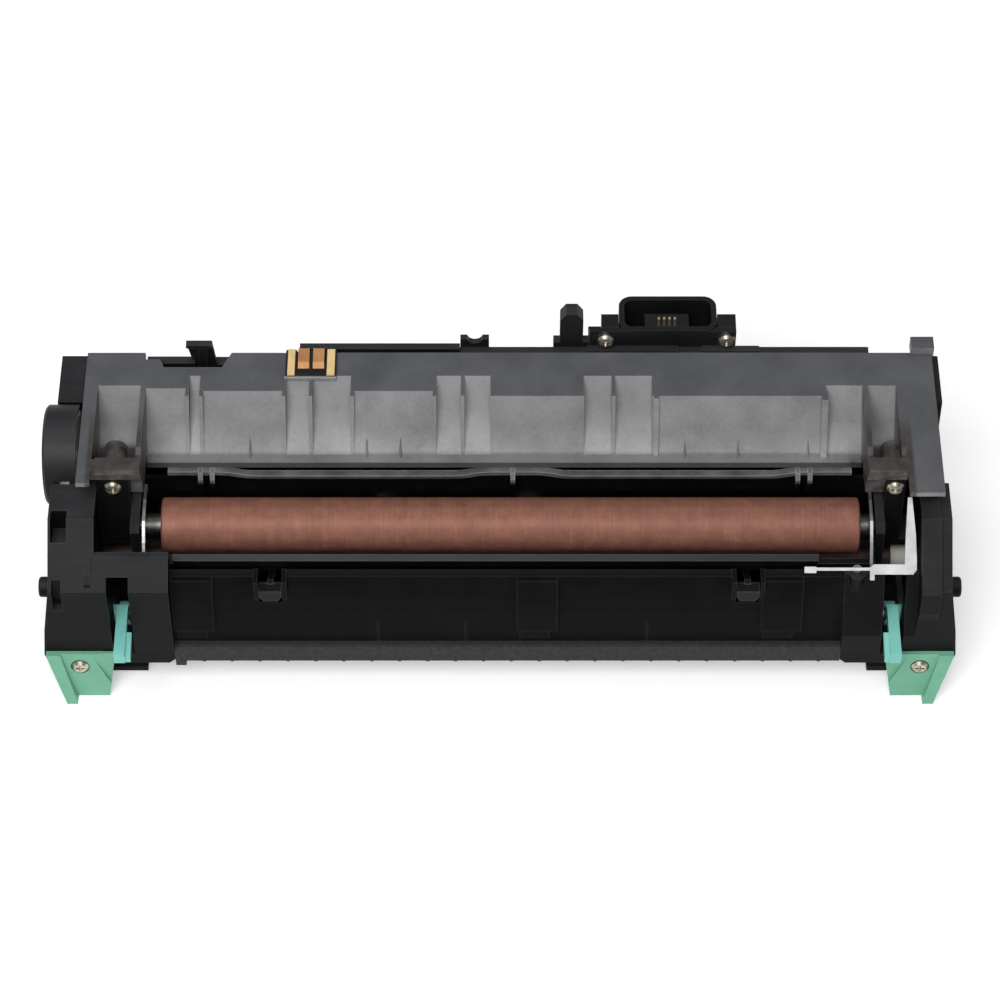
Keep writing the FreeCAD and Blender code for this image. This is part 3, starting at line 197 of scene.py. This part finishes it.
def moulded_plastic(name, dark, pale, worn, roughness, gloss, dust_and_top_light=0.0, wear=0.3, grit_mm=0.35):
    """Moulded plastic: flow colour, drawn streaks, grit, rubbed edges, and tops painted greyer by
    dust and light.

    The grit is drawn several times coarser than a mould leaves it, so that it can show.
    """
    flow_mm = 22.0
    streak_mm = 2.2
    streak_draw = 0.12
    streak_share = 0.45
    top_face_from = 0.5
    top_face_full = 0.95
    edge_mm = 0.35
    smoother = 0.08
    rougher = 0.1
    finish, tree, shader = new_finish(name)
    place = add_node(tree, "ShaderNodeTexCoord")
    drawn = add_node(tree, "ShaderNodeMapping", Vector=place.outputs["Object"],
                     Scale=(streak_draw, 1.0, 1.0))
    clouds = add_node(tree, "ShaderNodeTexNoise", Vector=place.outputs["Object"],
                      Scale=1.0 / (flow_mm * millimetre), Detail=4.0)
    streaks = add_node(tree, "ShaderNodeTexNoise", Vector=drawn.outputs[0],
                       Scale=1.0 / (streak_mm * millimetre), Detail=3.0)
    flow = add_node(tree, "ShaderNodeMath", {"operation": "MULTIPLY_ADD"}, _0=streaks.outputs[0],
                    _1=streak_share, _2=clouds.outputs[0])
    tone = add_node(tree, "ShaderNodeValToRGB", {"stops": [(0.45, dark), (0.95, pale)]},
                    Fac=flow.outputs[0])
    shape = add_node(tree, "ShaderNodeNewGeometry")
    facing = add_node(tree, "ShaderNodeSeparateXYZ", Vector=shape.outputs["Normal"])
    # Faces that look up are painted greyer with 6E6F72: settled dust, and partly painted light from
    # above.
    settled_dust_and_light = add_node(tree, "ShaderNodeMapRange", Value=facing.outputs[2], From_Min=top_face_from,
                       From_Max=top_face_full, To_Max=dust_and_top_light)
    drift_dust_and_light = add_node(tree, "ShaderNodeMath", {"operation": "MULTIPLY"}, _0=settled_dust_and_light.outputs[0],
                     _1=flow.outputs[0])
    dusted_and_lit = add_node(tree, "ShaderNodeMix", {"data_type": "RGBA"}, Factor=drift_dust_and_light.outputs[0],
                      _6=tone.outputs[0], _7="6E6F72")
    paint = add_node(tree, "ShaderNodeMix", {"data_type": "RGBA"},
                     Factor=rubbed_edge(tree, shape, edge_mm, wear), _6=dusted_and_lit.outputs[2], _7=worn)
    tree.links.new(paint.outputs[2], shader.inputs["Base Color"])
    haze = add_node(tree, "ShaderNodeMapRange", Value=clouds.outputs[0],
                    To_Min=roughness - smoother, To_Max=roughness + rougher)
    tree.links.new(haze.outputs[0], shader.inputs["Roughness"])
    grit = add_node(tree, "ShaderNodeTexNoise", Vector=place.outputs["Object"],
                    Scale=1.0 / (grit_mm * millimetre), Detail=2.0)
    bump = add_node(tree, "ShaderNodeBump", Height=grit.outputs[0], Strength=grit_strength,
                    Distance=grit_depth_mm * millimetre)
    tree.links.new(bump.outputs[0], shader.inputs["Normal"])
    shader.inputs["IOR"].default_value = plastic_ior
    shader.inputs["Specular IOR Level"].default_value = gloss
    return finish


def dress(names, finish, radius_mm=0.2):
    """Gives CAD nodes their finish, and rounds their sharp edges as the mould or the press does."""
    for name in names:
        piece = nodes[name]
        piece.data.materials.clear()
        piece.data.materials.append(finish)
        if radius_mm:
            edge = piece.modifiers.new("edge radius", "BEVEL")
            edge.width = radius_mm * millimetre
            edge.segments = edge_segments
            edge.limit_method = "ANGLE"
            edge.angle_limit = sharp_edge
            edge.use_clamp_overlap = True
            edge.harden_normals = True


housing_pet = moulded_plastic("black glass-filled PET, spark-eroded", "080809", "101112", "5C5C5A",
                              roughness=0.52, gloss=0.1, dust_and_top_light=0.2)
dress(["base_frame", "side_frame_left", "side_frame_right"], housing_pet)

# Gear cover and rear cover: snap-on mouldings of the same black PET from a finer mould.
# They come out smoother and a shade greyer than the housing, under slightly thinner dust and
# painted top light.
cover_pet = moulded_plastic("black glass-filled PET, fine mould", "0D0E0F", "18191A", "60605E",
                            roughness=0.46, gloss=0.2, dust_and_top_light=0.16)
dress(["gear_cover", "rear_cover"], cover_pet)

# Front cover: the deep black panel under the rollers, moulded in PET with a flat, light-eating
# skin. Its bottom bar is painted grey, a painted highlight for the light stripe along that bead,
# and the edges of its pads are rubbed a little paler.
skin_mm = 9.0
skin_roughness = (0.5, 0.68)
skin_gloss = 0.06
skin_grain_mm = 1.6
bar_highlight_from_mm = 21.5
bar_highlight_full_mm = 19.8
bar_highlight = 0.85
pad_edge_mm = 0.5
pad_wear = 0.25
front_pet, tree, shader = new_finish("black glass-filled PET, flat skin")
place = add_node(tree, "ShaderNodeTexCoord")
spot = add_node(tree, "ShaderNodeSeparateXYZ", Vector=place.outputs["Object"])
skin = add_node(tree, "ShaderNodeTexNoise", Vector=place.outputs["Object"],
                Scale=1.0 / (skin_mm * millimetre), Detail=4.0)
grain = add_node(tree, "ShaderNodeTexNoise", Vector=place.outputs["Object"],
                 Scale=1.0 / (skin_grain_mm * millimetre), Detail=3.0)
black = add_node(tree, "ShaderNodeValToRGB", {"stops": [(0.3, "060606"), (0.7, "0E0E0F")]},
                 Fac=skin.outputs[0])
grey = add_node(tree, "ShaderNodeValToRGB", {"stops": [(0.35, "393A39"), (0.65, "434442")]},
                Fac=grain.outputs[0])
# Painted highlight: below 21.5 mm the bottom bar is painted grey.
bar_highlight_mask = add_node(tree, "ShaderNodeMapRange", Value=spot.outputs[2],
               From_Min=bar_highlight_from_mm * millimetre, From_Max=bar_highlight_full_mm * millimetre,
               To_Max=bar_highlight)
bar_painted_lit = add_node(tree, "ShaderNodeMix", {"data_type": "RGBA"}, Factor=bar_highlight_mask.outputs[0],
                   _6=black.outputs[0], _7=grey.outputs[0])
shape = add_node(tree, "ShaderNodeNewGeometry")
paint = add_node(tree, "ShaderNodeMix", {"data_type": "RGBA"},
                 Factor=rubbed_edge(tree, shape, pad_edge_mm, pad_wear), _6=bar_painted_lit.outputs[2],
                 _7="5A5A58")
tree.links.new(paint.outputs[2], shader.inputs["Base Color"])
haze = add_node(tree, "ShaderNodeMapRange", Value=skin.outputs[0], To_Min=skin_roughness[0],
                To_Max=skin_roughness[1])
tree.links.new(haze.outputs[0], shader.inputs["Roughness"])
bump = add_node(tree, "ShaderNodeBump", Height=grain.outputs[0], Strength=grit_strength,
                Distance=grit_depth_mm * millimetre)
tree.links.new(bump.outputs[0], shader.inputs["Normal"])
shader.inputs["IOR"].default_value = plastic_ior
shader.inputs["Specular IOR Level"].default_value = skin_gloss
dress(["front_cover"], front_pet)

# Pressure roller: a sleeve of terracotta silicone rubber ground to size on a turned steel core.
# Grinding leaves fine rings round it, drawn coarser here so that they can show, and paper dust
# makes it slightly blotchy along its length. Its sheen is as warm as the rubber.
lathe_marks = (1.0, 0.03, 0.03)
ring_mm = 0.7
ring_share = 0.35
ring_strength = 0.35
ring_depth_mm = 0.05
blotch_mm = 5.0
rubber_roughness = 0.5
rubber_gloss = 1.0
ground_silicone, tree, shader = new_finish("terracotta silicone rubber, ground")
place = add_node(tree, "ShaderNodeTexCoord")
around = add_node(tree, "ShaderNodeMapping", Vector=place.outputs["Object"], Scale=lathe_marks)
rings = add_node(tree, "ShaderNodeTexNoise", Vector=around.outputs[0],
                 Scale=1.0 / (ring_mm * millimetre), Detail=2.0)
blotches = add_node(tree, "ShaderNodeTexNoise", Vector=place.outputs["Object"],
                    Scale=1.0 / (blotch_mm * millimetre), Detail=5.0, Roughness=0.7)
mottle = add_node(tree, "ShaderNodeMath", {"operation": "MULTIPLY_ADD"}, _0=rings.outputs[0],
                  _1=ring_share, _2=blotches.outputs[0])
tone = add_node(tree, "ShaderNodeValToRGB",
                {"stops": [(0.4, "613D33"), (0.68, "754B3F"), (0.95, "875B4E")]},
                Fac=mottle.outputs[0])
tree.links.new(tone.outputs[0], shader.inputs["Base Color"])
shader.inputs["Roughness"].default_value = rubber_roughness
shader.inputs["Specular IOR Level"].default_value = rubber_gloss
shader.inputs["Specular Tint"].default_value = srgb("F0BBA8")
bump = add_node(tree, "ShaderNodeBump", Height=rings.outputs[0], Strength=ring_strength,
                Distance=ring_depth_mm * millimetre)
tree.links.new(bump.outputs[0], shader.inputs["Normal"])
dress(["pressure_roller_rubber"], ground_silicone, radius_mm=0.0)


def bare_metal(name, pale, dull, roughness, marks=(1.0, 1.0, 1.0)):
    """Bare metal: two shades of it in clouds, and tool marks that run as it was turned or rolled.

    The marks are drawn several times coarser than real ones, so that they can show.
    """
    cloud_mm = 6.0
    mark_mm = 0.4
    mark_strength = 0.15
    mark_depth_mm = 0.02
    smoother = 0.08
    rougher = 0.12
    finish, tree, shader = new_finish(name)
    place = add_node(tree, "ShaderNodeTexCoord")
    drawn = add_node(tree, "ShaderNodeMapping", Vector=place.outputs["Object"], Scale=marks)
    clouds = add_node(tree, "ShaderNodeTexNoise", Vector=place.outputs["Object"],
                      Scale=1.0 / (cloud_mm * millimetre), Detail=3.0)
    tooling = add_node(tree, "ShaderNodeTexNoise", Vector=drawn.outputs[0],
                       Scale=1.0 / (mark_mm * millimetre), Detail=2.0)
    tone = add_node(tree, "ShaderNodeValToRGB", {"stops": [(0.35, pale), (0.7, dull)]},
                    Fac=clouds.outputs[0])
    tree.links.new(tone.outputs[0], shader.inputs["Base Color"])
    haze = add_node(tree, "ShaderNodeMapRange", Value=tooling.outputs[0],
                    To_Min=roughness - smoother, To_Max=roughness + rougher)
    tree.links.new(haze.outputs[0], shader.inputs["Roughness"])
    bump = add_node(tree, "ShaderNodeBump", Height=tooling.outputs[0], Strength=mark_strength,
                    Distance=mark_depth_mm * millimetre)
    tree.links.new(bump.outputs[0], shader.inputs["Normal"])
    shader.inputs["Metallic"].default_value = 1.0
    return finish


greased_core = bare_metal("turned steel, greased", "6E6E6B", "3C3B38", 0.36, lathe_marks)
dress(["pressure_roller_core"], greased_core, radius_mm=0.0)

# Pins: short rods of turned steel that the idler, the levers and the pressure arms turn on.
# They are paler and shinier than the greased core, with the same rings from the lathe.
turned_steel = bare_metal("turned steel", "B8B8B6", "8E8E8C", 0.28, lathe_marks)
dress(["drive_pin", "lever_pin_left", "lever_pin_right", "arm_pin_left", "arm_pin_right"],
      turned_steel, radius_mm=0.0)

# Hot roller: an aluminium tube with a dark fluoropolymer coat baked on it, hidden behind the
# paper guide. The coat takes away most of the metal's shine, and faint rings from turning show
# through it.
coated_tube = bare_metal("fluoropolymer-coated aluminium", "2E2623", "1D1816", 0.42, lathe_marks)
dress(["heat_roller_tube"], coated_tube, radius_mm=0.0)

# Gears: the hot roller's gear and the idler that drives it, with teeth moulded in natural acetal.
# Acetal is cream white with a waxy shine, and slightly paler where its edges are rubbed.
acetal = moulded_plastic("natural acetal", "CFC9B6", "DFDAC8", "EDE9DC", roughness=0.36, gloss=0.5,
                         wear=0.15)
dress(["heat_roller_gear", "drive_gear"], acetal, radius_mm=0.0)

# Bushes: plain bearings of black PPS, pressed into the inner walls, that the roller ends turn in.
# They are smoother and glossier than the housing, as if greased.
bush_pps = moulded_plastic("black PPS", "0E0E0E", "191918", "4E4D4A", roughness=0.32, gloss=0.4,
                           wear=0.2)
dress(["pressure_bush_left", "pressure_bush_right", "heat_bush_left", "heat_bush_right"],
      bush_pps, radius_mm=0.0)

# Heater: a halogen lamp of clear fused quartz inside the hot roller, held in steatite ends, and
# two sensors with steatite bodies behind the roller. The quartz is clear with the faintest haze,
# and the fired steatite is a half matt off-white, cloudy as a moulding is.
haze_mm = 5.0
fused_quartz, tree, shader = new_finish("fused quartz")
place = add_node(tree, "ShaderNodeTexCoord")
haze = add_node(tree, "ShaderNodeTexNoise", Vector=place.outputs["Object"],
                Scale=1.0 / (haze_mm * millimetre))
tone = add_node(tree, "ShaderNodeValToRGB", {"stops": [(0.3, "E6E8EA"), (0.7, "F4F5F6")]},
                Fac=haze.outputs[0])
tree.links.new(tone.outputs[0], shader.inputs["Base Color"])
shader.inputs["Transmission Weight"].default_value = 0.9
shader.inputs["Roughness"].default_value = 0.05
shader.inputs["IOR"].default_value = 1.46
dress(["halogen_lamp"], fused_quartz, radius_mm=0.0)
steatite = moulded_plastic("glazed steatite", "D3CFC2", "E2DFD4", "F0EEE6", roughness=0.5,
                           gloss=0.5, wear=0.1)
dress(["lamp_ends", "thermostat", "thermistor"], steatite, radius_mm=0.0)

# Lower guide bar and stripper claws: black PBT, polished so that the sheet slides over them. The
# bar is carried by a tab at each end, and the claws swing in ears on the front cover. Every edge
# is painted with a thin light line, partly rubbed wear and partly a painted highlight.
guide_pbt = moulded_plastic("black PBT, polished, edges painted light", "0A0A0B", "131314", "77777A", roughness=0.34,
                            gloss=0.14, wear=0.45, grit_mm=0.9)
dress(["lower_guide_bar", "stripper_claw_left", "stripper_claw_right"], guide_pbt)

# Paper guide: the waved strip between the rollers, of the same PBT, black in the paper slot.
# Its top flange is painted a patchy grey as if lit, painted light that fades out just below the
# edge, with a painted highlight along the edge itself.
lit_flange_from_mm = 53.6
lit_flange_full_mm = 54.8
flange_patch_mm = 7.0
flange_edge_mm = 0.35
flange_roughness = (0.22, 0.42)
flange_gloss = 0.4
flange_pbt, tree, shader = new_finish("black PBT, flange painted lit grey")
place = add_node(tree, "ShaderNodeTexCoord")
spot = add_node(tree, "ShaderNodeSeparateXYZ", Vector=place.outputs["Object"])
patch = add_node(tree, "ShaderNodeTexNoise", Vector=place.outputs["Object"],
                 Scale=1.0 / (flange_patch_mm * millimetre), Detail=5.0)
black = add_node(tree, "ShaderNodeValToRGB", {"stops": [(0.3, "0B0B0C"), (0.7, "131314")]},
                 Fac=patch.outputs[0])
grey = add_node(tree, "ShaderNodeValToRGB", {"stops": [(0.3, "4A4A4C"), (0.7, "6E6E71")]},
                Fac=patch.outputs[0])
# Painted light: above 53.6 mm the flange is painted grey as if lit, and its edge gets a painted
# highlight.
lit_flange_mask = add_node(tree, "ShaderNodeMapRange", Value=spot.outputs[2],
                  From_Min=lit_flange_from_mm * millimetre, From_Max=lit_flange_full_mm * millimetre)
flange_painted_lit = add_node(tree, "ShaderNodeMix", {"data_type": "RGBA"}, Factor=lit_flange_mask.outputs[0],
                  _6=black.outputs[0], _7=grey.outputs[0])
shape = add_node(tree, "ShaderNodeNewGeometry")
edge_highlight = add_node(tree, "ShaderNodeMath", {"operation": "MULTIPLY"},
                _0=rubbed_edge(tree, shape, flange_edge_mm), _1=lit_flange_mask.outputs[0])
paint = add_node(tree, "ShaderNodeMix", {"data_type": "RGBA"}, Factor=edge_highlight.outputs[0],
                 _6=flange_painted_lit.outputs[2], _7="A8A8AA")
tree.links.new(paint.outputs[2], shader.inputs["Base Color"])
haze = add_node(tree, "ShaderNodeMapRange", Value=patch.outputs[0], To_Min=flange_roughness[0],
                To_Max=flange_roughness[1])
tree.links.new(haze.outputs[0], shader.inputs["Roughness"])
shader.inputs["IOR"].default_value = plastic_ior
shader.inputs["Specular IOR Level"].default_value = flange_gloss
dress(["paper_guide"], flange_pbt)

# Top cover: one moulding of dark grey heat-resistant PET over the rear half, fixed by two screw
# brackets. The steep panels are painted paler toward their foot, a painted sheen of the light they
# catch, which stops at the lip below them. Heat has browned the two brackets and the edges of
# their ribs.
speck_mm = 1.1
speck_share = 0.3
cloud_mm = 16.0
deck_mm = 78.0
foot_mm = 60.0
lip_mm = 59.4
lip_fade_mm = 61.0
steep_from = -0.3
steep_full = -0.8
steep_sheen_share = 0.55
bracket_mm = 116.0
bracket_fade_mm = 2.0
cover_end_mm = 135.6
cover_end_fade_mm = 1.0
brown_back_mm = 10.0
brown_front_mm = 0.0
stain_mm = 3.5
stain_from = 0.35
stain_full = 0.65
least_stain = 0.6
rib_edge_mm = 0.35
rib_wear = 0.55
cover_roughness = (0.36, 0.56)
heat_pet, tree, shader = new_finish("dark grey heat-resistant PET")
place = add_node(tree, "ShaderNodeTexCoord")
spot = add_node(tree, "ShaderNodeSeparateXYZ", Vector=place.outputs["Object"])
shape = add_node(tree, "ShaderNodeNewGeometry")
facing = add_node(tree, "ShaderNodeSeparateXYZ", Vector=shape.outputs["Normal"])
clouds = add_node(tree, "ShaderNodeTexNoise", Vector=place.outputs["Object"],
                  Scale=1.0 / (cloud_mm * millimetre), Detail=5.0, Roughness=0.6)
specks = add_node(tree, "ShaderNodeTexNoise", Vector=place.outputs["Object"],
                  Scale=1.0 / (speck_mm * millimetre), Detail=3.0)
mottle = add_node(tree, "ShaderNodeMath", {"operation": "MULTIPLY_ADD"}, _0=specks.outputs[0],
                  _1=speck_share, _2=clouds.outputs[0])
grey = add_node(tree, "ShaderNodeValToRGB", {"stops": [(0.4, "444548"), (0.9, "58595C")]},
                Fac=mottle.outputs[0])
# Painted sheen: the drop from deck to foot and the faces that turn forward are painted paler
# (A9A9A9), blotched, and faded out on the lip.
sheen_toward_foot = add_node(tree, "ShaderNodeMapRange", Value=spot.outputs[2], From_Min=deck_mm * millimetre,
                From_Max=foot_mm * millimetre)
sheen_above_lip = add_node(tree, "ShaderNodeMapRange", Value=spot.outputs[2], From_Min=lip_mm * millimetre,
               From_Max=lip_fade_mm * millimetre)
steep_sheen = add_node(tree, "ShaderNodeMapRange", Value=facing.outputs[1], From_Min=steep_from,
                 From_Max=steep_full, To_Max=steep_sheen_share)
painted_sheen = add_node(tree, "ShaderNodeMath", {"operation": "MAXIMUM"}, _0=sheen_toward_foot.outputs[0],
                  _1=steep_sheen.outputs[0])
blotched_sheen = add_node(tree, "ShaderNodeMath", {"operation": "MULTIPLY"}, _0=painted_sheen.outputs[0],
                    _1=mottle.outputs[0])
sheen_off_lip = add_node(tree, "ShaderNodeMath", {"operation": "MULTIPLY"}, _0=blotched_sheen.outputs[0],
                 _1=sheen_above_lip.outputs[0])
sheened = add_node(tree, "ShaderNodeMix", {"data_type": "RGBA"}, Factor=sheen_off_lip.outputs[0],
                 _6=grey.outputs[0], _7="A9A9A9")
across = add_node(tree, "ShaderNodeMath", {"operation": "ABSOLUTE"}, _0=spot.outputs[0])
inner = add_node(tree, "ShaderNodeMapRange", Value=across.outputs[0],
                 From_Min=bracket_mm * millimetre,
                 From_Max=(bracket_mm + bracket_fade_mm) * millimetre)
outer = add_node(tree, "ShaderNodeMapRange", Value=across.outputs[0],
                 From_Min=cover_end_mm * millimetre,
                 From_Max=(cover_end_mm + cover_end_fade_mm) * millimetre, To_Min=1.0, To_Max=0.0)
bracket = add_node(tree, "ShaderNodeMath", {"operation": "MULTIPLY"}, _0=inner.outputs[0],
                   _1=outer.outputs[0])
front = add_node(tree, "ShaderNodeMapRange", Value=spot.outputs[1],
                 From_Min=brown_back_mm * millimetre, From_Max=brown_front_mm * millimetre)
scorched = add_node(tree, "ShaderNodeMath", {"operation": "MULTIPLY"}, _0=bracket.outputs[0],
                    _1=front.outputs[0])
blots = add_node(tree, "ShaderNodeTexNoise", Vector=place.outputs["Object"],
                 Scale=1.0 / (stain_mm * millimetre), Detail=4.0)
patches = add_node(tree, "ShaderNodeMapRange", Value=blots.outputs[0], From_Min=stain_from,
                   From_Max=stain_full, To_Min=least_stain)
brown = add_node(tree, "ShaderNodeMath", {"operation": "MULTIPLY"}, _0=scorched.outputs[0],
                 _1=patches.outputs[0])
stained = add_node(tree, "ShaderNodeMix", {"data_type": "RGBA"}, Factor=brown.outputs[0],
                   _6=sheened.outputs[2], _7="2F2823")
scorch = add_node(tree, "ShaderNodeMath", {"operation": "MULTIPLY"}, _0=inner.outputs[0],
                  _1=patches.outputs[0])
rim = add_node(tree, "ShaderNodeMix", {"data_type": "RGBA"}, Factor=scorch.outputs[0],
               _6="7E7D7B", _7="6A4B33")
paint = add_node(tree, "ShaderNodeMix", {"data_type": "RGBA"},
                 Factor=rubbed_edge(tree, shape, rib_edge_mm, rib_wear), _6=stained.outputs[2],
                 _7=rim.outputs[2])
tree.links.new(paint.outputs[2], shader.inputs["Base Color"])
haze = add_node(tree, "ShaderNodeMapRange", Value=clouds.outputs[0], To_Min=cover_roughness[0],
                To_Max=cover_roughness[1])
tree.links.new(haze.outputs[0], shader.inputs["Roughness"])
bump = add_node(tree, "ShaderNodeBump", Height=specks.outputs[0], Strength=grit_strength,
                Distance=grit_depth_mm * millimetre)
tree.links.new(bump.outputs[0], shader.inputs["Normal"])
shader.inputs["IOR"].default_value = plastic_ior
dress(["top_cover"], heat_pet)

# Release levers: mint green acetal fingers on steel pins, which take the pressure off the rollers.
# The colour marks what a user may touch, and thumbs have paled the free edges.
mint_acetal = moulded_plastic("mint acetal", "6FBBB0", "80C8BD", "B4E2DA", roughness=0.4, gloss=0.4)
dress(["release_lever_left", "release_lever_right"], mint_acetal)

# Corner handles: finger plates moulded in mint ABS, each screwed to a front corner of the unit.
# They are a warmer green than the levers, with the same pale edges.
mint_abs = moulded_plastic("mint ABS", "68A78A", "79B89A", "A9D8C2", roughness=0.44, gloss=0.35)
dress(["handle_left", "handle_right"], mint_abs)

# Pressure arms and springs: zinc-plated arms pressed from sheet and springs wound from wire. The
# plating is dull grey with a faint grain along the sheet, and the wire is brighter. Each spring
# stands on its side frame, and in the machine it shortens as its arm comes down; here each spring
# gets a mesh of its own.
sheet_grain = (1.0, 0.1, 0.1)
plated_sheet = bare_metal("zinc-plated steel sheet", "A9AAA9", "8C8D8C", 0.36, sheet_grain)
dress(["pressure_arm_left", "pressure_arm_right"], plated_sheet, radius_mm=0.1)
spring_wire = bare_metal("drawn spring wire", "C4C4C2", "8F8F8D", 0.22)
dress(["pressure_spring_left", "pressure_spring_right"], spring_wire, radius_mm=0.0)
for side in ("left", "right"):
    spring = nodes["pressure_spring_" + side]
    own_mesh(spring)

# Earth clips: bent chrome-plated wires that arch over the roller's journals beside the rubber.
# Heat and handling have dulled the chrome to a soft mid grey.
chrome_wire = bare_metal("chrome-plated wire", "9C9C9A", "70706E", 0.4)
dress(["earth_clip_left", "earth_clip_right"], chrome_wire, radius_mm=0.0)

# Ground plate and contact strip: tinned steel blanked from thin sheet. The plate lies down the
# slope of the right bay, and the strip in front of the contact tray. Tin is almost white and
# dull, with a faint greyer cloud.
plate_grain = (1.0, 1.0, 0.1)
tinned_steel = bare_metal("dull tinned steel", "C9C9C8", "B2B2B2", 0.55, plate_grain)
dress(["ground_plate", "contact_strip"], tinned_steel, radius_mm=0.1)

# Contact tray: a shallow black PBT tray at the back of the deck that holds two gilt brass rails
# and two leaves of beryllium copper. Both metals are warm and dull, so they hardly mirror.
tray_pbt = moulded_plastic("black PBT, fine mould", "0C0C0D", "151617", "505050", roughness=0.4,
                           gloss=0.3)
dress(["contact_block"], tray_pbt)
gilt_rail = bare_metal("gilt brass", "FBE6B8", "F0D49C", 0.78)
dress(["outer_contacts"], gilt_rail, radius_mm=0.0)
copper_leaf = bare_metal("beryllium copper", "D6A878", "C49468", 0.7)
dress(["inner_contacts"], copper_leaf, radius_mm=0.0)

# Drawer connector: a shell of the same black PBT that floats on its bracket, held by two screws.
# The pins on the block inside it are plated with gold, which stays pale yellow and shiny.
dress(["drawer_connector", "connector_bracket"], tray_pbt)
gold_pin = bare_metal("gold-plated bronze", "F2DFB4", "D9BC7C", 0.3)
dress(["connector_pins"], gold_pin, radius_mm=0.0)

# Screws: pan heads with cross recesses, in the brackets, the handles, the connector and the
# ground plate. Their nickel plating looks slightly yellow beside the mint and black.
nickel_plate = bare_metal("nickel-plated steel", "C9C2B2", "A39C8C", 0.3)
dress(["pan_screws", "plate_screw"], nickel_plate, radius_mm=0.1)
